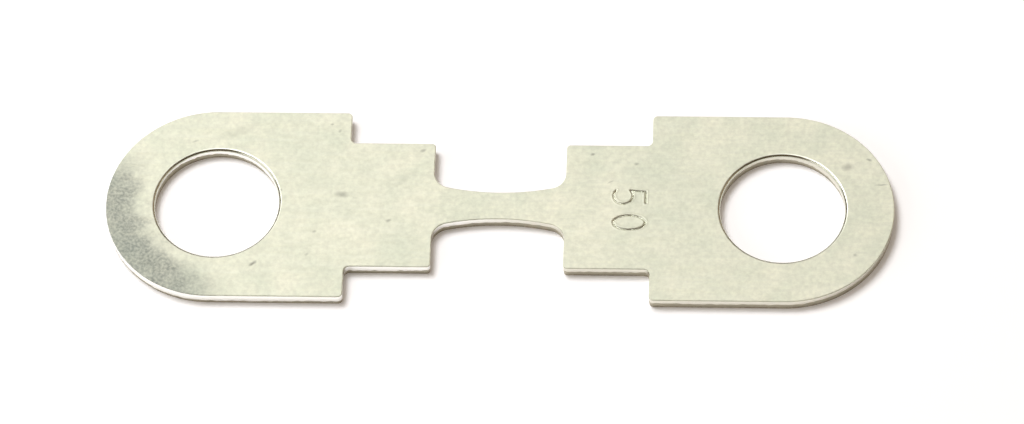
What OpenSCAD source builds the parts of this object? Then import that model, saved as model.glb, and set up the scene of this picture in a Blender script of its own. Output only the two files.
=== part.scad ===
// Bolt-down strip fuse, blanked and pierced from one piece of zinc sheet.
// Two round-ended eyes take the fixing bolts. Each eye steps down to a narrower tab, and a waisted
// neck between the tabs is the place where the fuse melts.
// The origin is at the centre of the underside, +X runs along the strip and +Z is up.

/* [Eyes] */
// Distance between the two fixing holes, centre to centre
fixing_centres = 30; // [26:0.5:40]
// Diameter of each fixing hole, clearance for an M6 bolt
hole_d = 6.6; // [5:0.1:7.5]
// Width of the eyes across the strip
eye_width = 11.5; // [10:0.1:14]
// Distance from a hole's centre to the end of the strip
end_reach = 5.9; // [5.3:0.05:7.5]
// Distance between the shoulders where the two eyes begin
shoulder_span = 16.1; // [12:0.1:17]
// Corner radius at the shoulders
shoulder_r = 0.25; // [0.1:0.05:0.8]
// Radius in the inside corner between a tab and its shoulder
root_r = 0.3; // [0.2:0.05:0.8]

/* [Tabs] */
// Width of the tabs across the strip
tab_width = 7.7; // [5:0.1:8.5]
// Gap between the two tabs, which the neck bridges
tab_gap = 7; // [5:0.1:9]
// Corner radius at the tab ends
tab_r = 0.2; // [0.1:0.05:0.5]

/* [Neck] */
// Width of the neck at its narrowest
neck_width = 1.65; // [0.8:0.05:2.4]
// Radius of the two long arcs that waist the neck
waist_r = 13; // [9:0.5:25]
// Radius of the fillets where the arcs run into the tabs
neck_fillet_r = 0.95; // [0.5:0.05:1.2]

/* [Sheet and sheared edge] */
// Thickness of the sheet
sheet = 0.75; // [0.5:0.05:1.2]
// Height and width of the rounding that the die rolls over at the top edge
die_roll = 0.06; // [0.03:0.01:0.12]
// Height of the rough torn band at the bottom of every edge
break_height = 0.24; // [0.08:0.01:0.32]
// How far the torn band falls back at the underside
break_back = 0.03; // [0.01:0.01:0.06]

/* [Hidden] */
$fn = 96;

// Places along the strip
hole_x = fixing_centres / 2;
end_x = hole_x + end_reach;
eye_r = eye_width / 2;
eye_x = end_x - eye_r;
shoulder_x = shoulder_span / 2;
tab_x = tab_gap / 2;
tab_y = tab_width / 2;
neck_y = neck_width / 2;

// The waist arc is centred on the Y axis, and each fillet runs out of it from inside.
// The fillet's circle stands past the arc by a few microns, so that the two cross cleanly.
crossing = 0.004;
waist_y = neck_y + waist_r;
fillet_x = tab_x - neck_fillet_r;
fillet_away = waist_r - neck_fillet_r + crossing;
fillet_y = waist_y - sqrt(fillet_away ^ 2 - fillet_x ^ 2);
waist_half = asin(fillet_x / fillet_away);
// Angle by which a fillet's edge waste starts early, inside the gap
early = 20;

// How far a cutting shape stands clear of the metal that it trims
clear = 0.1;
// Number of flats in the rolled edge
roll_steps = 3;

// Point on the rolled edge, from 0 at the top face to 90 at the sheared wall, with the wall at x = 0
function roll_point(a) = [die_roll * (sin(a) - 1), sheet + die_roll * (cos(a) - 1)];

// The line from p to q, drawn on past q by the given length
function beyond(p, q, length) = q + (q - p) * length / norm(q - p);

// What the shearing takes off a square edge, seen in section with the metal at negative x:
// the roll at the top and the torn band that falls back at the bottom
module edge_waste() {
    roll = [for (i = [0:roll_steps]) roll_point(90 * i / roll_steps)];
    torn_top = [0, break_height];
    torn_foot = [-break_back, 0];
    polygon(concat(
        [[-die_roll, sheet + clear], beyond(roll[1], roll[0], clear / 2)],
        [for (i = [1:roll_steps - 1]) roll[i]],
        [
            beyond(roll[roll_steps - 1], roll[roll_steps], clear / 2),
            beyond(torn_foot, torn_top, clear / 2),
            beyond(torn_top, torn_foot, clear / 2),
            [clear, -clear],
            [clear, sheet + clear]
        ]
    ));
}

// Edge waste along a straight run from a to b, with the metal on the left
module straight_waste(a, b) {
    run = b - a;
    translate([a[0], a[1], 0])
        rotate([0, 0, atan2(run[1], run[0])])
            rotate([90, 0, 90])
                linear_extrude(norm(run))
                    mirror([1, 0])
                        edge_waste();
}

// Edge waste round an outside corner of radius r, from angle a0 through turn degrees
module outside_waste(centre, r, a0, turn) {
    translate([centre[0], centre[1], 0])
        rotate([0, 0, a0])
            rotate_extrude(angle = turn)
                translate([r, 0])
                    edge_waste();
}

// Edge waste round an inside corner or a hole of radius r
module inside_waste(centre, r, a0, turn) {
    translate([centre[0], centre[1], 0])
        rotate([0, 0, a0])
            rotate_extrude(angle = turn)
                translate([r, 0])
                    mirror([1, 0])
                        edge_waste();
}

// Rectangle from one corner to the opposite one
module block(low, high) {
    translate(low)
        square(high - low);
}

// Repeats what is drawn at the right of the strip on its left too
module both_ends() {
    children();
    mirror([1, 0, 0])
        children();
}

// Repeats what is drawn at the far side of the strip on its near side too
module both_sides() {
    children();
    mirror([0, 1, 0])
        children();
}

// The sliver that rounding takes off a square corner of the metal, which lies right of and below the origin
module corner_sliver(r) {
    difference() {
        block([-clear, -r], [r, clear]);
        translate([r, -r])
            circle(r);
    }
}

// The cove that fills a square inside corner, with the gap left of and above the origin
module root_cove(r) {
    difference() {
        block([-r, -clear], [clear, r]);
        translate([-r, r])
            circle(r);
    }
}

// Outline of the right-hand eye, with the corners of its shoulders rounded
module eye_plan() {
    difference() {
        union() {
            translate([eye_x, 0])
                circle(eye_r);
            block([shoulder_x, -eye_r], [eye_x, eye_r]);
        }
        both_sides()
            translate([shoulder_x, eye_r])
                corner_sliver(shoulder_r);
    }
}

// The gap beside the neck, from the waist arc out past the tab's edge
module notch_plan() {
    far = 2 * waist_r;
    intersection() {
        translate([0, waist_y])
            circle(waist_r, $fn = 360);
        polygon([
            [0, waist_y],
            [-far * sin(waist_half), waist_y - far * cos(waist_half)],
            [far * sin(waist_half), waist_y - far * cos(waist_half)]
        ]);
    }
    both_ends()
        translate([fillet_x, fillet_y])
            circle(neck_fillet_r);
    block([-tab_x, fillet_y], [tab_x, tab_y + clear]);
    both_ends()
        translate([tab_x, tab_y])
            corner_sliver(tab_r);
}

// Outline of the whole blank, before the holes
module strip_plan() {
    both_ends()
        eye_plan();
    both_ends()
        both_sides()
            translate([shoulder_x, tab_y])
                root_cove(root_r);
    difference() {
        block([-shoulder_x - clear, -tab_y], [shoulder_x + clear, tab_y]);
        both_sides()
            notch_plan();
    }
}

// Edge waste round one quarter of the outline, from the eye's end to the neck
module quarter_waste() {
    straight_waste([eye_x, eye_r], [shoulder_x + shoulder_r, eye_r]);
    outside_waste([shoulder_x + shoulder_r, eye_r - shoulder_r], shoulder_r, 90, 90);
    straight_waste([shoulder_x, eye_r - shoulder_r], [shoulder_x, tab_y + root_r]);
    inside_waste([shoulder_x - root_r, tab_y + root_r], root_r, 270, 90);
    straight_waste([shoulder_x - root_r, tab_y], [tab_x + tab_r, tab_y]);
    outside_waste([tab_x + tab_r, tab_y - tab_r], tab_r, 90, 90);
    straight_waste([tab_x, tab_y - tab_r], [tab_x, fillet_y]);
    inside_waste([fillet_x, fillet_y], neck_fillet_r, 270 + waist_half - early, 90 - waist_half + early);
}

// Edge waste all round the outline
module outline_waste() {
    both_ends()
        outside_waste([eye_x, 0], eye_r, -90, 180);
    both_sides()
        inside_waste([0, waist_y], waist_r, 270 - waist_half, 2 * waist_half, $fn = 360);
    both_ends()
        both_sides()
            quarter_waste();
}

// The pierced hole, whose wall is a true bore between the roll and the torn band
module fixing_hole() {
    translate([hole_x, 0, -clear])
        cylinder(d = hole_d, h = sheet + 2 * clear);
    inside_waste([hole_x, 0], hole_d / 2, 0, 360);
}

// The whole strip
module fuse_strip() {
    color([0.9, 0.89, 0.79])
        difference() {
            linear_extrude(sheet)
                strip_plan();
            outline_waste();
            both_ends()
                fixing_hole();
        }
}

fuse_strip();
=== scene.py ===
# %% [markdown]
# A bolt-down strip fuse: one piece of zinc sheet, blanked and pierced in a press. This lesson builds
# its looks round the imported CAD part. The first cell loads that part as a fixed frame, and every size
# below is in the same frame: +X along the strip, +Y across it, +Z up, with the origin under the middle.

import bmesh
import bpy
import numpy as np
from mathutils import Matrix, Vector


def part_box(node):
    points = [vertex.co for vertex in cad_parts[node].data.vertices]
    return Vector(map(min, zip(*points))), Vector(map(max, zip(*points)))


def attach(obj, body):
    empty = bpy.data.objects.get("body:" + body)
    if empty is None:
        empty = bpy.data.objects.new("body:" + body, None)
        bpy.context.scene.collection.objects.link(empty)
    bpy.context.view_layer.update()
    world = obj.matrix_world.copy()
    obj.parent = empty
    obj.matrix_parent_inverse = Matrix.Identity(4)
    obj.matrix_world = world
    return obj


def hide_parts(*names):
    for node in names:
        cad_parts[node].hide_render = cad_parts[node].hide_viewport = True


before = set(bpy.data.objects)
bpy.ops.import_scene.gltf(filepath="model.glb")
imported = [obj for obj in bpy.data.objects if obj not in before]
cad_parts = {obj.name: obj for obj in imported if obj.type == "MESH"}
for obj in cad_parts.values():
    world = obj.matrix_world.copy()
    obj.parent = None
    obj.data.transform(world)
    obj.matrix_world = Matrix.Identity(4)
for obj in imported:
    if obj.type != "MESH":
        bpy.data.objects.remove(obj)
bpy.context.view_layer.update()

MM = 0.001
low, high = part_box("fuse_strip")
length, width, sheet = ((high - low) / MM)
print(f"strip {length:.2f} x {width:.2f} x {sheet:.2f} mm")

# %% [markdown]
# Colours are written as the sRGB hex that a paint program shows, because that is how they are picked.
# Blender computes in linear light, so one function turns them over.

# %% Colours


def linear(hex_colour):
    """sRGB hex to linear RGBA: below 0.04045 a straight line, above it a power of 2.4."""
    channels = [int(hex_colour[i:i + 2], 16) / 255 for i in (1, 3, 5)]
    return [c / 12.92 if c <= 0.04045 else ((c + 0.055) / 1.055) ** 2.4 for c in channels] + [1.0]


print("ivory grey, linear:", [round(c, 3) for c in linear("#E4E3CE")[:3]])

# %% [markdown]
# The photograph was taken from the front, about 58 degrees above the table, with a long lens. The
# camera is a pinhole: three angles turn it, and the middle of the strip's top face sits a little off its
# axis. The distance is long enough that the far edge is only a few percent smaller than the near one.

# %% Camera
IMAGE_WIDTH = 1024
ELEVATION, YAW, ROLL = 57.86, 5.49, -4.06
DISTANCE = 299.49
FOCAL_PIXELS = 5657.5
MIDDLE_RIGHT, MIDDLE_UP = -0.688, 0.344


def camera_axes(elevation, yaw, roll):
    """Right, up and back axes of a camera that looks down at the strip and then rolls about its view."""
    e, a, r = np.radians([elevation, yaw, roll])
    back = np.array([np.sin(a) * np.cos(e), -np.cos(a) * np.cos(e), np.sin(e)])
    right = np.array([np.cos(a), np.sin(a), 0.0])
    up = np.cross(back, right)
    return np.array([np.cos(r) * right + np.sin(r) * up, np.cos(r) * up - np.sin(r) * right, back])


axes = camera_axes(ELEVATION, YAW, ROLL)
from_camera = np.array([MIDDLE_RIGHT, MIDDLE_UP, -DISTANCE])
place = (np.array([0, 0, sheet]) - axes.T @ from_camera) * MM
lens = bpy.data.cameras.new("camera")
lens.sensor_fit = "HORIZONTAL"
lens.sensor_width = 36.0
lens.lens = FOCAL_PIXELS / IMAGE_WIDTH * lens.sensor_width
lens.clip_start = 0.01
lens.clip_end = 20.0
camera = bpy.data.objects.new("camera", lens)
bpy.context.scene.collection.objects.link(camera)
camera.matrix_world = Matrix(np.vstack([np.column_stack([axes.T, place]), [0, 0, 0, 1]]).tolist())
bpy.context.scene.camera = camera
print("camera at", (place / MM).round(1), "mm, lens", round(lens.lens, 1), "mm")

# %% [markdown]
# The outline is made of straight runs and true arcs, as the blanking die was. One quarter is drawn,
# from the tip of an eye to the middle of the neck, and its mirror images close the loop. Each stretch
# has its own number of steps, and the steps are counted so that the patches of the face, further on,
# meet point to point.

# %% Sizes of the strip, in millimetres
hole_x, hole_r = 15.0, 3.3
shoulder_x, shoulder_r, root_r = 8.05, 0.25, 0.3
tab_x, tab_y, tab_r = 3.5, 3.85, 0.2
neck_y, waist_r, fillet_r = 0.825, 13.0, 0.95
break_back = 0.03
OUTER_ROLL, HOLE_ROLL = (0.05, 0.06), (0.16, 0.15)

eye_r = width / 2
eye_x = length / 2 - eye_r
waist_y = neck_y + waist_r
fillet_x = tab_x - fillet_r
fillet_y = waist_y - np.sqrt((waist_r - fillet_r) ** 2 - fillet_x ** 2)
waist_half = np.degrees(np.arcsin(fillet_x / (waist_r - fillet_r)))
print(f"eye centre {eye_x:.2f}, fillet centre ({fillet_x:.2f}, {fillet_y:.2f}) mm")

# %% Straight runs and arcs


def line(a, b, steps):
    """Points from a to b, evenly spaced, without b; the normal is the run turned a quarter turn right."""
    a, b = np.array(a), np.array(b)
    t = np.arange(steps)[:, None] / steps
    run = (b - a) / np.linalg.norm(b - a)
    return np.hstack([a + (b - a) * t, np.tile([run[1], -run[0]], (steps, 1))])


def arc(centre, radius, start, turn, steps):
    """Points on a circle from angle start through turn, without the last one. The normal points away
    from the metal: outwards where the path turns left, and to the centre where it turns right."""
    angle = np.radians(start + turn * np.arange(steps) / steps)
    ray = np.column_stack([np.cos(angle), np.sin(angle)])
    return np.hstack([np.array(centre) + radius * ray, ray * np.sign(turn)])


END, SIDE, CORNER, WALL, ROOT = 110, 84, 8, 14, 8
TAB_SIDE, TAB_CORNER, TAB_END, FILLET, WAIST = 64, 12, 34, 26, 34
quarter = np.vstack([
    arc([eye_x, 0], eye_r, 0, 90, END),
    line([eye_x, eye_r], [shoulder_x + shoulder_r, eye_r], SIDE),
    arc([shoulder_x + shoulder_r, eye_r - shoulder_r], shoulder_r, 90, 90, CORNER),
    line([shoulder_x, eye_r - shoulder_r], [shoulder_x, tab_y + root_r], WALL),
    arc([shoulder_x - root_r, tab_y + root_r], root_r, 0, -90, ROOT),
    line([shoulder_x - root_r, tab_y], [tab_x + tab_r, tab_y], TAB_SIDE),
    arc([tab_x + tab_r, tab_y - tab_r], tab_r, 90, 90, TAB_CORNER),
    line([tab_x, tab_y - tab_r], [tab_x, fillet_y], TAB_END),
    arc([fillet_x, fillet_y], fillet_r, 0, waist_half - 90, FILLET),
    arc([0, waist_y], waist_r, waist_half - 90, -waist_half, WAIST),
    [[0, neck_y, 0, 1]],
])
print(len(quarter), "points on a quarter of the outline")

# %% [markdown]
# A mirror image of the quarter runs the other way round, so it is turned end for end. Four of them make
# the closed loop. The places where the patches of the face meet are kept as counts from the eye's tip.

# %% The closed outline
FLIP_X, FLIP_Y = np.array([-1, 1, -1, 1]), np.array([1, -1, 1, -1])
outline = np.vstack([
    quarter[:-1],
    (quarter * FLIP_X)[:0:-1],
    (quarter * FLIP_X * FLIP_Y)[:-1],
    (quarter * FLIP_Y)[:0:-1],
])
AT_ROOT = END + SIDE + CORNER + WALL + ROOT // 2
AT_TAB_CORNER = AT_ROOT + ROOT // 2 + TAB_SIDE + TAB_CORNER // 2
AT_FILLET = AT_TAB_CORNER + TAB_CORNER // 2 + TAB_END
NECK_ROWS = 72
TILE_ROWS = NECK_ROWS + 2 * (AT_FILLET - AT_TAB_CORNER)
TILE_COLUMNS = AT_TAB_CORNER - AT_ROOT
print(len(outline), "points round the outline; stamped tile", TILE_COLUMNS, "x", TILE_ROWS)

# %% [markdown]
# A press tears sheet rather than cutting it, and the edge shows how. The top corner is rolled over by
# the die, the wall below it is burnished bright, and the last third breaks away rough and leans back.
# The edge is that section carried along the path: at each level it has a height and a distance in from
# the wall. The line where the burnish ends wanders, so it is a sum of waves along the path, and towards
# the right the clearance was wider, so the torn band is taller there. The roll is the face drawn down at
# the rim and keeps its finish; round the holes it is wider, and the punch has rubbed it smooth.

# %% Section of the sheared edge
rng = np.random.default_rng(30)
ROLL_STEPS = 6
TORN_STEPS = 4


def waves(count, lengths):
    """Noise along a closed path of count points: sines that fit the loop a whole number of times, of
    about the given lengths in points, each with a random phase; the result is within about -1 to 1."""
    t = 2 * np.pi * np.arange(count) / count
    turns = np.array([max(1, round(count / size)) for size in lengths])
    phase = rng.uniform(0, 2 * np.pi, len(turns))
    return np.sin(t[:, None] * turns + phase).sum(1) / np.sqrt(len(turns))


def edge_levels(torn_height, roll):
    """Heights and insets of the section, one row for each level from the top face to the underside.
    The roll is a quarter ellipse of the given width and height, the burnished wall is upright, and the
    torn band falls back by the power 0.7 of its depth with fine noise on it. The torn height is given at
    each point of the path."""
    count = len(torn_height)
    angle = np.radians(np.linspace(0, 90, ROLL_STEPS + 1))[:, None]
    roll_z = sheet - roll[1] * (1 - np.cos(angle)) + np.zeros(count)
    roll_in = roll[0] * (1 - np.sin(angle)) + np.zeros(count)
    edge_of_burnish = torn_height + 0.03 * waves(count, (97, 61, 23, 11, 7))
    wall_z = np.array([edge_of_burnish + 0.03, edge_of_burnish + 0.012])
    depth = np.linspace(0.06, 1, TORN_STEPS + 1)[:, None]
    torn_z = edge_of_burnish * (1 - depth)
    grain = np.array([waves(count, (3.1, 4.3, 5.9, 9.7)) for _ in range(TORN_STEPS + 1)])
    torn_in = break_back * depth ** 0.7 + 0.004 * grain * np.minimum(1, 4 * (1 - depth) + 0.3)
    z = np.vstack([roll_z, wall_z, torn_z])
    inset = np.vstack([roll_in, np.zeros((2, count)), np.maximum(torn_in, 0.002)])
    return z, inset


BURNISHED_LEVELS = ROLL_STEPS + 2
torn_height = np.interp(outline[:, 0], [-14, -8, -4, 4], [0.21, 0.26, 0.34, 0.40])
outer_z, outer_in = edge_levels(torn_height, OUTER_ROLL)
print("the burnish ends between", outer_z[BURNISHED_LEVELS].min().round(3), "and",
      outer_z[BURNISHED_LEVELS].max().round(3), "mm up")

# %% [markdown]
# A plain number is stamped into one tab, with a punch whose strokes are about a seventh of a millimetre
# wide. Its figures are made of straight strokes and pieces of ellipses. They are drawn upright, and then
# turned to read across the strip.

# %% Strokes of the number
CAP = 1.70
READING_X = 6.06
STARTS = {"5": 1.12, "0": -0.52}


def bow(centre, radii, start, turn, steps=28):
    """Piece of an ellipse as a chain of points."""
    angle = np.radians(start + turn * np.linspace(0, 1, steps))
    return np.array(centre) + np.column_stack([np.cos(angle), np.sin(angle)]) * radii


GLYPHS = {
    "5": [
        np.array([[0.86, CAP], [0.16, CAP], [0.08, 0.52 * CAP]]),
        bow([0.42, 0.3 * CAP], [0.5, 0.3 * CAP], 132, -262),
    ],
    "0": [bow([0.44, CAP / 2], [0.44, CAP / 2], 0, 360, 56)],
}


def stroke_segments():
    """All the strokes as segments in the plan: a glyph's up is +X and its right is -Y."""
    parts = []
    for name, strokes in GLYPHS.items():
        for stroke in strokes:
            plan = np.column_stack([READING_X + stroke[:, 1], STARTS[name] - stroke[:, 0]])
            parts.append(np.hstack([plan[:-1], plan[1:]]))
    return np.vstack(parts)


segments = stroke_segments()
print(len(segments), "segments in the number")

# %% [markdown]
# The punch leaves a groove with a rounded floor, and the metal that it pushed aside stands up a few
# microns beside it. So the height of the sheet is a function of the distance to the nearest stroke.

# %% The stamped height
GROOVE_HALF = 0.07
GROOVE_DEPTH = 0.055
LIP_HEIGHT = 0.014
LIP_REACH = 0.09


def stroke_distance(points):
    """Distance from each point to the nearest segment: the point is dropped on each segment's line,
    the foot is kept between the segment's ends, and the least distance is taken."""
    a, b = segments[:, :2], segments[:, 2:]
    run = b - a
    share = ((points[:, None] - a) * run).sum(2) / (run ** 2).sum(1)
    foot = a + np.clip(share, 0, 1)[..., None] * run
    return np.linalg.norm(points[:, None] - foot, axis=2).min(1)


def stamped(points):
    """Height over the face: a raised cosine down into the groove, and a small hump past its edge."""
    d = stroke_distance(points)
    groove = -GROOVE_DEPTH * (0.5 + 0.5 * np.cos(np.pi * np.clip(d / GROOVE_HALF, 0, 1)))
    hump = np.clip((d - GROOVE_HALF) / LIP_REACH, 0, 1)
    return groove + LIP_HEIGHT * np.sin(np.pi * hump) ** 2


# %% [markdown]
# The face is covered by patches, each a grid of two parameters. A ring patch runs between two closed
# loops with the same number of points: round the hole and round the eye, or round the stamped tile and
# round the tab. The neck is a ruled patch from one side to the other. All the patches share their border
# points, so that merging doubles closes the sheet.

# %% Grids of points
patches = []


def add_grid(points, material, closed=False, torn=0.0, rubbed=0.0):
    """Keeps a grid of points, rows by columns by three, with its four-sided faces; closed joins the last
    column to the first. Torn is the depth in the torn band, and rubbed is how much a punch has smoothed
    the metal, which also sets how much painted shade darkens it; both run from 0 to 1."""
    rows, columns = points.shape[:2]
    index = np.arange(rows * columns).reshape(rows, columns)
    if closed:
        index = np.hstack([index, index[:, :1]])
    quads = np.stack([index[:-1, :-1], index[:-1, 1:], index[1:, 1:], index[1:, :-1]], -1).reshape(-1, 4)
    torn = np.broadcast_to(torn, (rows, columns)).ravel()
    rubbed = np.broadcast_to(rubbed, (rows, columns)).ravel()
    patches.append((points.reshape(-1, 3), quads, np.full(len(quads), material), torn, rubbed))


def flat(points, z):
    """Plan points at height z."""
    return np.dstack([points, np.full(points.shape[:2], z)])


def ruled(a, b, shares):
    """Grid whose rows go from curve a to curve b at the given shares of the way."""
    return a + (b - a) * np.asarray(shares)[:, None, None]


FACE, BURNISHED, TORN = 0, 1, 2
HOLD = 0.012

# %% [markdown]
# The loops of each half: the right half as drawn, and the left half as its mirror image. The border
# between an eye and its tab leaves the two coves at the roots at their middles and bulges into the eye,
# because a straight one would touch the coves and pinch the grid. The one between a tab and the neck is
# straight. Both are divided evenly, and the tile and the neck patch use the same divisions.

# %% Loops of one half of the strip


def inset_quarter(inset):
    """The quarter moved in from the wall by one distance at each point."""
    return quarter[:, :2] - quarter[:, 2:] * np.asarray(inset)[:, None]


def across(end, steps, bulge=0.0):
    """Border from the point end to its mirror image over the X axis, both ends included. Its middle
    stands out by bulge along X, and the bulge falls with the square of the distance from the axis."""
    t = np.linspace(1, -1, steps + 1)
    return np.column_stack([end[0] + bulge * (1 - t ** 2), end[1] * t])


def half_loops(inset):
    """The closed loops round the eye and round the tab, and the two sides of the neck, for one inset."""
    q = inset_quarter(inset)
    mirror = np.array([1, -1])
    eye_border = across(q[AT_ROOT], TILE_ROWS, bulge=0.5)
    neck_border = across(q[AT_FILLET], NECK_ROWS)
    eye = np.vstack([q[:AT_ROOT], eye_border[:-1], (q[1:AT_ROOT + 1] * mirror)[::-1]])
    tab = np.vstack([
        eye_border[::-1][:-1],
        q[AT_ROOT:AT_FILLET],
        neck_border[:-1],
        (q[AT_ROOT + 1:AT_FILLET + 1] * mirror)[::-1],
    ])
    return eye, tab, q[AT_FILLET:]


def towards(points, centre):
    """Unit vectors from the points to the centre."""
    run = centre - points
    return run / np.linalg.norm(run, axis=1, keepdims=True)


HOLE = np.array([hole_x, 0])
TAB_MIDDLE = np.array([5.8, 0])
into_hole = towards(half_loops(np.zeros(len(quarter)))[0], HOLE)
print(len(into_hole), "points round each hole")


# %% [markdown]
# The top face takes all three kinds of patch. Rows crowd towards a border with the rolled edge, because
# a thin last row keeps the smooth shading of the roll from spreading over the flat. The underside is
# plain, so its tabs close on a point.

# %% Faces of the sheet


def face(z, inset, hole_inset, side, stamp):
    """One face of one half: side is 1 for the half as drawn and -1 for its mirror image. The insets are
    the distances from the outer wall and from the hole's wall at which the flat begins."""
    turn = np.array([side, 1])
    eye, tab, neck = half_loops(np.full(len(quarter), inset))
    rim = HOLE - into_hole * (hole_r + hole_inset)
    shares = [0, 0.2, 0.4, 0.6, 0.8, 1] if z > 0 else [0, 0.5, 1]
    rows = ruled(rim - HOLD * into_hole, eye + HOLD * into_hole, shares)
    add_grid(flat(np.concatenate([[rim], rows, [eye]]) * turn, z), FACE, closed=True)
    tab_hold = tab + HOLD * towards(tab, TAB_MIDDLE)
    if stamp:
        x0, x1, y0, y1 = TILE
        x, y = np.linspace(x1, x0, TILE_COLUMNS + 1), np.linspace(y1, y0, TILE_ROWS + 1)
        tile = np.dstack(np.meshgrid(x, y))
        border = np.vstack([tile[::-1, 0][:-1], tile[0, :-1], tile[:-1, -1], tile[-1, ::-1][:-1]])
        rows = np.concatenate([ruled(border, tab_hold, [0, 0.25, 0.5, 0.75, 1]), [tab]])
        add_grid(flat(rows, z), FACE, closed=True)
        height = stamped(tile.reshape(-1, 2)).reshape(tile.shape[:2])
        add_grid(np.dstack([tile, z + height]), FACE, rubbed=np.clip(-height / GROOVE_DEPTH, 0, 1))
    else:
        shares = [0, 0.3, 0.65, 1] if z > 0 else [0, 1]
        rows = np.concatenate([ruled(TAB_MIDDLE + 0 * tab, tab_hold, shares), [tab]])
        add_grid(flat(rows * turn, z), FACE, closed=True)
    far = neck * turn
    near = far * [1, -1]
    add_grid(flat(ruled(far, near, np.linspace(0, 1, NECK_ROWS + 1)), z), FACE)


TILE = (5.78, 8.03, -2.86, 1.95)
for side in (1, -1):
    face(sheet, OUTER_ROLL[0], HOLE_ROLL[0], side, stamp=(side == 1))
    face(0.0, break_back, break_back, side, stamp=False)
print(len(patches), "patches in the two faces")

# %% [markdown]
# The edge is one closed grid round the outline, and one round each hole. The first and last levels have
# the same even inset as the faces, so their points coincide. The hole's wall is the same section with
# its normal turned to the middle of the hole, and it is torn higher where it faces right, because the
# punches stood a little off centre.

# %% Sheared edges


def add_edge(path, normals, z, inset, roll, rubbed):
    """The section carried along a closed path, kept as a rolled, a burnished and a torn part. The first
    third of the roll turns from the finish of the face to the given rubbed one. The torn part keeps its
    depth, from 0 where the burnish ends to 1 at the underside."""
    z[0], inset[0] = sheet, roll[0]
    z[-1], inset[-1] = 0.0, break_back
    plan = path - normals * inset[..., None]
    grid = np.dstack([plan, z])
    rubbed *= np.clip(np.linspace(0, 3, ROLL_STEPS + 1), 0, 1)[:, None]
    add_grid(grid[:ROLL_STEPS + 1], FACE, closed=True, rubbed=rubbed)
    add_grid(grid[ROLL_STEPS:BURNISHED_LEVELS + 1], BURNISHED, closed=True)
    add_grid(grid[BURNISHED_LEVELS:], TORN, closed=True, torn=np.linspace(0, 1, TORN_STEPS + 2)[:, None])


add_edge(outline[:, :2], outline[:, 2:], outer_z, outer_in, OUTER_ROLL, rubbed=0.0)
for side in (1, -1):
    turn = np.array([side, 1])
    hole_z, hole_in = edge_levels(0.36 + 0.13 * (into_hole * turn)[:, 0], HOLE_ROLL)
    wall = (HOLE - into_hole * hole_r) * turn
    add_edge(wall, into_hole * turn, hole_z, hole_in, HOLE_ROLL, rubbed=1.0)
print(sum(len(patch[1]) for patch in patches), "four-sided faces in all")

# %% [markdown]
# One mesh takes all the patches. The points that patches share are merged, the faces are turned outwards
# together, and an edge is kept sharp only where the sheet really has a corner: at the underside, and in
# the torn metal.

# %% The mesh


def build_mesh(name):
    """Joins the patches end to end, welds points within a micron, and recalculates the normals."""
    grids, faces, kinds, torn, rubbed = zip(*patches)
    starts = np.cumsum([0] + [len(grid) for grid in grids])
    points = np.vstack(grids) * MM
    quads = np.vstack([quads + start for quads, start in zip(faces, starts)])
    mesh = bpy.data.meshes.new(name)
    mesh.from_pydata(points.tolist(), [], quads.tolist())
    mesh.polygons.foreach_set("material_index", np.concatenate(kinds).astype(np.int32))
    for name, values in (("torn_depth", torn), ("rubbed", rubbed)):
        values = np.concatenate(values).astype(np.float32)
        mesh.attributes.new(name, "FLOAT", "POINT").data.foreach_set("value", values)
    shell = bmesh.new()
    shell.from_mesh(mesh)
    bmesh.ops.remove_doubles(shell, verts=shell.verts, dist=0.001 * MM)
    bmesh.ops.dissolve_degenerate(shell, edges=shell.edges, dist=0.0001 * MM)
    bmesh.ops.recalc_face_normals(shell, faces=shell.faces)
    loose = sum(not edge.is_manifold for edge in shell.edges)
    volume = shell.calc_volume(signed=True) / MM ** 3
    shell.to_mesh(mesh)
    shell.free()
    mesh.polygons.foreach_set("use_smooth", np.ones(len(mesh.polygons), bool))
    mesh.set_sharp_from_angle(angle=np.radians(38))
    mesh.validate()
    print(len(mesh.polygons), "faces,", loose, "open edges, volume", round(volume, 1), "mm3")
    return mesh


strip = bpy.data.objects.new("zinc_strip", build_mesh("zinc_strip"))
bpy.context.scene.collection.objects.link(strip)
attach(strip, "root")
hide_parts("fuse_strip")

# %% [markdown]
# A material is a tree of nodes. One helper adds a node, sets it and links it, so that each finish below
# reads as a list of what feeds what.

# %% Adding a node


def add(tree, kind, inputs=None, **settings):
    """Adds a node of the kind, with its settings, and its inputs by name or number: a value is set, and
    another node's output socket is linked."""
    new = tree.nodes.new(kind)
    for name, value in settings.items():
        setattr(new, name, value)
    for name, value in (inputs or {}).items():
        if isinstance(value, bpy.types.NodeSocket):
            tree.links.new(value, new.inputs[name])
        else:
            new.inputs[name].default_value = value
    return new


def new_material(name):
    """An empty material with its output node; returns the material, its tree and the output."""
    material = bpy.data.materials.new(name)
    material.use_nodes = True
    material.node_tree.nodes.clear()
    return material, material.node_tree, material.node_tree.nodes.new("ShaderNodeOutputMaterial")


# %% [markdown]
# Bright rolled zinc. Zinc is a bluish metal that looks ivory under warm light, and the rolls leave it
# matt: reflections are blurred, so the face shows the light as a slow gradient. Its grains and the oxide
# on them make faint clouds and a finer mottle, and handling has drawn scratches across it, mostly one
# way. Real grains and scratches are finer than a pixel of the picture, so both are drawn coarser here.

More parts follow.
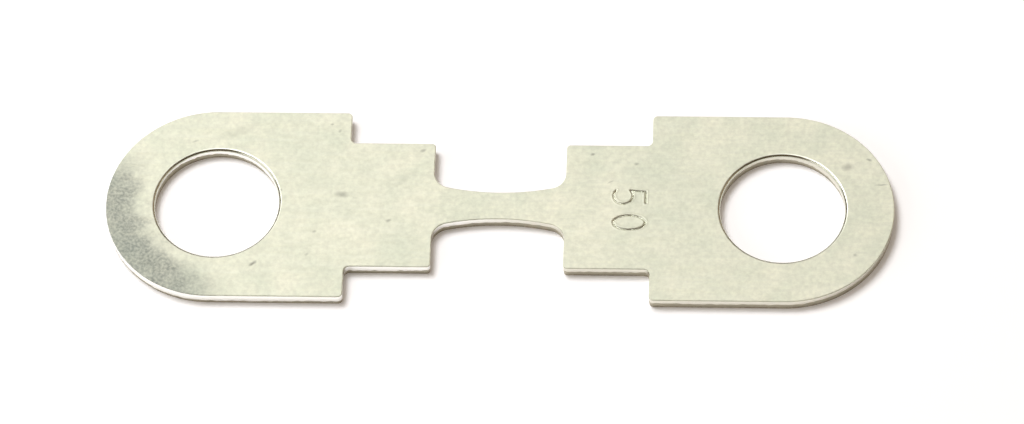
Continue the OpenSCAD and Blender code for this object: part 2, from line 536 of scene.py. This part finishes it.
# %% Rolled zinc face
material, tree, output = new_material("bright_rolled_zinc")
place = add(tree, "ShaderNodeTexCoord").outputs["Object"]
turned = add(tree, "ShaderNodeMapping", {
    "Vector": place,
    "Rotation": (0, 0, np.radians(-22)),
    "Scale": (0.06, 1, 1),
})
scratches = add(tree, "ShaderNodeTexNoise", {
    "Vector": turned.outputs[0],
    "Scale": 1 / (0.14 * MM),
    "Detail": 3,
})
clouds = add(tree, "ShaderNodeTexNoise", {"Vector": place, "Scale": 1 / (1.8 * MM), "Detail": 4})
grains = add(tree, "ShaderNodeTexNoise", {"Vector": place, "Scale": 1 / (0.22 * MM), "Detail": 3})
shade = add(tree, "ShaderNodeValToRGB", {"Fac": clouds.outputs["Fac"]})
shade.color_ramp.elements[0].position = 0.3
shade.color_ramp.elements[0].color = linear("#D9DCCB")
shade.color_ramp.elements[1].position = 0.7
shade.color_ramp.elements[1].color = linear("#E4E4D3")
mottle = add(tree, "ShaderNodeMapRange", {
    "Value": grains.outputs["Fac"],
    "From Min": 0.3,
    "From Max": 0.7,
    "To Min": 0.93,
    "To Max": 1.05,
})
lines = add(tree, "ShaderNodeMapRange", {
    "Value": scratches.outputs["Fac"],
    "From Min": 0.3,
    "From Max": 0.7,
    "To Min": 0.96,
    "To Max": 1.03,
})
clean = add(tree, "ShaderNodeVectorMath", {
    0: shade.outputs["Color"],
    "Scale": mottle.outputs[0],
}, operation="SCALE")
clean = add(tree, "ShaderNodeVectorMath", {
    0: clean.outputs[0],
    "Scale": lines.outputs[0],
}, operation="SCALE")
print("clouds 1.8 mm, grains 0.22 mm, scratches 0.14 mm wide")

# %% [markdown]
# At its left end the sheet is dull and mottled, as zinc goes where damp has stood. The dull zone is a
# crescent along the rim: it begins past a circle in the eye, its border is shaken by noise, and it fades
# at both horns. Inside it, grey speckles of about a sixth of a millimetre take over the ivory.

# %% Dull end
DULL_FROM = (-13.4, 1.2)
shaken = add(tree, "ShaderNodeTexNoise", {"Vector": place, "Scale": 1 / (0.9 * MM), "Detail": 4})
offset = add(tree, "ShaderNodeVectorMath", {
    0: place,
    1: (DULL_FROM[0] * MM, DULL_FROM[1] * MM, sheet * MM),
}, operation="SUBTRACT")
away = add(tree, "ShaderNodeVectorMath", {0: offset.outputs[0]}, operation="LENGTH")
border = add(tree, "ShaderNodeMapRange", {
    "Value": shaken.outputs["Fac"],
    "To Min": -1.3 * MM,
    "To Max": 1.3 * MM,
})
away = add(tree, "ShaderNodeMath", {0: away.outputs["Value"], 1: border.outputs[0]}, operation="ADD")
dull = add(tree, "ShaderNodeMapRange", {
    "Value": away.outputs[0],
    "From Min": 5.0 * MM,
    "From Max": 6.9 * MM,
}, interpolation_type="SMOOTHSTEP")
axis = add(tree, "ShaderNodeSeparateXYZ", {"Vector": place})
right_horn = add(tree, "ShaderNodeMapRange", {
    "Value": axis.outputs["X"],
    "From Min": -13.6 * MM,
    "From Max": -17.4 * MM,
}, interpolation_type="SMOOTHSTEP")
far_horn = add(tree, "ShaderNodeMapRange", {
    "Value": axis.outputs["Y"],
    "From Min": 3.6 * MM,
    "From Max": 0.8 * MM,
}, interpolation_type="SMOOTHSTEP")
dull = add(tree, "ShaderNodeMath", {0: dull.outputs[0], 1: right_horn.outputs[0]}, operation="MULTIPLY")
dull = add(tree, "ShaderNodeMath", {0: dull.outputs[0], 1: far_horn.outputs[0]}, operation="MULTIPLY")
patchy = add(tree, "ShaderNodeTexNoise", {"Vector": place, "Scale": 1 / (0.8 * MM), "Detail": 2})
patchy = add(tree, "ShaderNodeMapRange", {
    "Value": patchy.outputs["Fac"],
    "From Min": 0.38,
    "From Max": 0.62,
    "To Min": 0.8,
    "To Max": 1.0,
})
dull = add(tree, "ShaderNodeMath", {0: dull.outputs[0], 1: patchy.outputs[0]}, operation="MULTIPLY")
speckle = add(tree, "ShaderNodeTexNoise", {"Vector": place, "Scale": 1 / (0.15 * MM), "Detail": 2})
speckle = add(tree, "ShaderNodeMapRange", {
    "Value": speckle.outputs["Fac"],
    "From Min": 0.36,
    "From Max": 0.64,
    "To Min": 0.42,
    "To Max": 0.76,
})
dull = add(tree, "ShaderNodeMath", {0: dull.outputs[0], 1: speckle.outputs[0]}, operation="MULTIPLY")
tarnished = add(tree, "ShaderNodeMix", {
    "Factor": dull.outputs[0],
    "A": clean.outputs[0],
    "B": linear("#949B96"),
}, data_type="RGBA")

# %% [markdown]
# The sheet also carries small marks: specks, a smudge, a few dashes and two faint streaks. Each is an
# ellipse: a Mapping node brings it to a unit circle, and the mark fades from its middle to its rim. The
# place is shaken first, so that the ellipses come out ragged. Where a punch has rubbed the metal, in the
# stamped grooves and round the holes, the face is painted a little darker: painted shade.

# %% Marks on the face
MARKS = [
    (-12.87, -3.76, 0.62, 0.24, 42, 0.55),
    (-8.39, 0.59, 0.95, 0.46, -5, 0.34),
    (-5.82, -1.01, 0.34, 0.24, 15, 0.34),
    (-9.71, -1.73, 0.30, 0.22, 30, 0.26),
    (-10.04, -3.16, 0.28, 0.20, 30, 0.2),
    (-11.62, 0.86, 0.22, 0.2, 60, 0.4),
    (-9.1, 5.01, 0.26, 0.2, 20, 0.32),
    (-8.67, 4.6, 0.3, 0.2, 50, 0.28),
    (-16.36, 3.87, 0.5, 0.16, 25, 0.22),
    (-4.16, 3.41, 0.45, 0.26, 25, 0.3),
    (4.89, 3.26, 0.28, 0.22, 10, 0.42),
    (7.20, 2.69, 0.3, 0.26, 0, 0.34),
    (5.86, 1.54, 0.5, 0.12, 30, 0.25),
    (18.42, 2.62, 0.75, 0.6, 20, 0.3),
    (19.55, 3.08, 0.4, 0.2, -20, 0.4),
    (20.2, 1.52, 0.8, 0.14, 3, 0.34),
    (18.82, -2.84, 0.28, 0.24, 0, 0.26),
    (-14.1, 4.5, 3.6, 0.7, 26, 0.09),
    (-5.2, 1.57, 2.4, 0.5, 42, 0.08),
]
jitter = add(tree, "ShaderNodeTexNoise", {"Vector": place, "Scale": 1 / (0.3 * MM), "Detail": 2})
jitter = add(tree, "ShaderNodeVectorMath", {
    0: jitter.outputs["Color"],
    1: (0.12 * MM, 0.12 * MM, 0),
    2: (-0.06 * MM, -0.06 * MM, 0),
}, operation="MULTIPLY_ADD")
ragged = add(tree, "ShaderNodeVectorMath", {0: place, 1: jitter.outputs[0]}, operation="ADD")


def add_mark(tree, x, y, mark_length, mark_width, angle, strength):
    """Strength at the middle of an ellipse on the top face, falling to 0 at its rim."""
    circle = add(tree, "ShaderNodeMapping", {
        "Vector": ragged.outputs[0],
        "Location": (x * MM, y * MM, sheet * MM),
        "Rotation": (0, 0, np.radians(angle)),
        "Scale": (mark_length / 2 * MM, mark_width / 2 * MM, 0.3 * MM),
    }, vector_type="TEXTURE")
    reach = add(tree, "ShaderNodeVectorMath", {0: circle.outputs[0]}, operation="LENGTH")
    return add(tree, "ShaderNodeMapRange", {
        "Value": reach.outputs["Value"],
        "From Min": 1.0,
        "From Max": 0.2,
        "To Min": 0.0,
        "To Max": strength,
    }).outputs[0]


marked = tarnished.outputs["Result"]
for mark in MARKS:
    marked = add(tree, "ShaderNodeMix", {
        "Factor": add_mark(tree, *mark),
        "A": marked,
        "B": linear("#4E4F47"),
    }, data_type="RGBA").outputs["Result"]
rubbed = add(tree, "ShaderNodeAttribute", attribute_name="rubbed").outputs["Fac"]
# Where the punch has rubbed, the face is painted up to 16 percent darker: painted shade in the grooves and
# on the hole rims.
painted_rubbed_shade = add(tree, "ShaderNodeMath", {0: rubbed, 1: 0.16}, operation="MULTIPLY")
marked = add(tree, "ShaderNodeMix", {
    "Factor": painted_rubbed_shade.outputs[0],
    "A": marked,
    "B": linear("#4E4F47"),
}, data_type="RGBA").outputs["Result"]
print(len(MARKS), "marks on the face")

# %% [markdown]
# The scratches also change how matt the face is and tilt it a little, and where the sheet is dull it is
# rougher still. Where a punch has rubbed it, in the stamped strokes and round the holes, it is smooth
# and glints.

# %% Surface of the face
matt = add(tree, "ShaderNodeMapRange", {"Value": scratches.outputs["Fac"], "To Min": 0.66, "To Max": 0.8})
matt = add(tree, "ShaderNodeMath", {
    0: dull.outputs[0],
    1: 0.12,
    2: matt.outputs[0],
}, operation="MULTIPLY_ADD")
matt = add(tree, "ShaderNodeMath", {
    0: rubbed,
    1: -0.5,
    2: matt.outputs[0],
}, operation="MULTIPLY_ADD")
relief = add(tree, "ShaderNodeBump", {
    "Height": scratches.outputs["Fac"],
    "Strength": 0.2,
    "Distance": 0.01 * MM,
})
surface = add(tree, "ShaderNodeBsdfPrincipled", {
    "Base Color": marked,
    "Metallic": 1.0,
    "Roughness": matt.outputs[0],
    "Normal": relief.outputs[0],
})
tree.links.new(surface.outputs[0], output.inputs["Surface"])
strip.data.materials.append(material)

# %% Burnished edge
material, tree, output = new_material("burnished_sheared_zinc")
place = add(tree, "ShaderNodeTexCoord").outputs["Object"]
drawn = add(tree, "ShaderNodeMapping", {"Vector": place, "Scale": (1, 1, 0.08)})
drag = add(tree, "ShaderNodeTexNoise", {"Vector": drawn.outputs[0], "Scale": 1 / (0.15 * MM), "Detail": 3})
relief = add(tree, "ShaderNodeBump", {"Height": drag.outputs["Fac"], "Strength": 0.2, "Distance": 0.01 * MM})
matt = add(tree, "ShaderNodeMapRange", {"Value": drag.outputs["Fac"], "To Min": 0.08, "To Max": 0.18})
# The burnish is painted lighter at the left end and darker towards the right: painted shade for light that
# grows weaker to the right.
painted_light_falloff = add(tree, "ShaderNodeSeparateXYZ", {"Vector": place})
painted_light_falloff = add(tree, "ShaderNodeMapRange", {
    "Value": painted_light_falloff.outputs["X"],
    "From Min": -2 * MM,
    "From Max": 2 * MM,
})
painted_light_falloff = add(tree, "ShaderNodeMix", {
    "Factor": painted_light_falloff.outputs[0],
    "A": linear("#FAF9F4"),
    "B": linear("#DFDCCF"),
}, data_type="RGBA")
surface = add(tree, "ShaderNodeBsdfPrincipled", {
    "Base Color": painted_light_falloff.outputs["Result"],
    "Metallic": 1.0,
    "Roughness": matt.outputs[0],
    "Normal": relief.outputs[0],
})
tree.links.new(surface.outputs[0], output.inputs["Surface"])
strip.data.materials.append(material)

# %% Torn edge
material, tree, output = new_material("torn_zinc")
place = add(tree, "ShaderNodeTexCoord").outputs["Object"]
grain = add(tree, "ShaderNodeTexNoise", {"Vector": place, "Scale": 1 / (0.06 * MM), "Detail": 4})
depth = add(tree, "ShaderNodeAttribute", attribute_name="torn_depth")
uneven = add(tree, "ShaderNodeMapRange", {"Value": grain.outputs["Fac"], "To Min": -0.25, "To Max": 0.25})
level = add(tree, "ShaderNodeMath", {0: depth.outputs["Fac"], 1: uneven.outputs[0]}, operation="ADD")
# Over the torn band's own duller colour, the ramp paints it darker at its top and at its foot by the floor,
# and lighter across its middle: painted shade along both edges and a painted band of reflection between.
painted_torn_shade = add(tree, "ShaderNodeValToRGB", {"Fac": level.outputs[0]})
painted_torn_shade.color_ramp.elements[0].position = 0.05
painted_torn_shade.color_ramp.elements[0].color = linear("#B2AC9A")
painted_torn_shade.color_ramp.elements[1].position = 0.95
painted_torn_shade.color_ramp.elements[1].color = linear("#A09886")
painted_torn_shade.color_ramp.elements.new(0.45).color = linear("#C2BCAA")
relief = add(tree, "ShaderNodeBump", {
    "Height": grain.outputs["Fac"],
    "Strength": 0.6,
    "Distance": 0.03 * MM,
})
surface = add(tree, "ShaderNodeBsdfPrincipled", {
    "Base Color": painted_torn_shade.outputs["Color"],
    "Metallic": 1.0,
    "Roughness": 0.6,
    "Normal": relief.outputs[0],
})
tree.links.new(surface.outputs[0], output.inputs["Surface"])
strip.data.materials.append(material)
print([m.name for m in strip.data.materials])

# %% [markdown]
# The floor is plain white card. A little of its white is added only for rays from the camera and for
# reflections, so that it shows white in both while the strip still casts its shadow on it.

# %% Floor
FLOOR_HALF = 1.5
corners = FLOOR_HALF * np.array([[-1, -1, 0], [1, -1, 0], [1, 1, 0], [-1, 1, 0]])
floor_mesh = bpy.data.meshes.new("floor")
floor_mesh.from_pydata(corners.tolist(), [], [(0, 1, 2, 3)])
floor = bpy.data.objects.new("floor", floor_mesh)
bpy.context.scene.collection.objects.link(floor)
material, tree, output = new_material("white_card")
card = add(tree, "ShaderNodeBsdfDiffuse", {"Color": linear("#F4F4F4")})
rays = add(tree, "ShaderNodeLightPath").outputs
seen = add(tree, "ShaderNodeMath", {0: rays["Is Camera Ray"], 1: rays["Is Glossy Ray"]}, operation="ADD")
seen = add(tree, "ShaderNodeMath", {0: seen.outputs[0], 1: rays["Is Transmission Ray"]}, operation="ADD")
lift = add(tree, "ShaderNodeMath", {0: seen.outputs[0], 1: 0.18}, operation="MULTIPLY")
white = add(tree, "ShaderNodeEmission", {"Color": linear("#FFFAF2"), "Strength": lift.outputs[0]})
both = add(tree, "ShaderNodeAddShader", {0: card.outputs[0], 1: white.outputs[0]})
tree.links.new(both.outputs[0], output.inputs["Surface"])
floor_mesh.materials.append(material)

# %% [markdown]
# A softbox high on the left is the key: it lights the face, and draws the short shadow on the strip's
# right and near sides. A wide dim one at the front left is what the rims that face it mirror, and a much
# dimmer warm one on the right is what the other rims mirror, so they stay olive. The room is warm too, so
# the shadows are brownish.

# %% Lamps and world


def softbox(name, place, size, radiance, colour):
    """Area lamp at place in metres, facing the origin. Its power is radiance times pi times its area."""
    lamp = bpy.data.lights.new(name, "AREA")
    lamp.shape = "RECTANGLE"
    lamp.size, lamp.size_y = size
    lamp.energy = radiance * np.pi * size[0] * size[1]
    lamp.color = linear(colour)[:3]
    back = np.array(place) / np.linalg.norm(place)
    right = np.cross([0, 0, 1], back)
    right /= np.linalg.norm(right)
    turn = np.column_stack([right, np.cross(back, right), back])
    new = bpy.data.objects.new(name, lamp)
    new.matrix_world = Matrix(np.vstack([np.column_stack([turn, place]), [0, 0, 0, 1]]).tolist())
    bpy.context.scene.collection.objects.link(new)
    return new


softbox("key", (-0.13, 0.11, 0.364), (0.2, 0.2), 12.0, "#FBFCFF")
softbox("front left", (-0.62, -0.25, 0.28), (0.8, 0.5), 1.5, "#FFFFFF")
softbox("right", (0.56, 0.2, 0.27), (1.0, 0.5), 0.3, "#FFE4C0")
world = bpy.data.worlds.new("room")
world.use_nodes = True
world.node_tree.nodes["Background"].inputs["Color"].default_value = linear("#FFDDBE")
world.node_tree.nodes["Background"].inputs["Strength"].default_value = 0.14
bpy.context.scene.world = world
bpy.context.scene.view_settings.view_transform = "Standard"
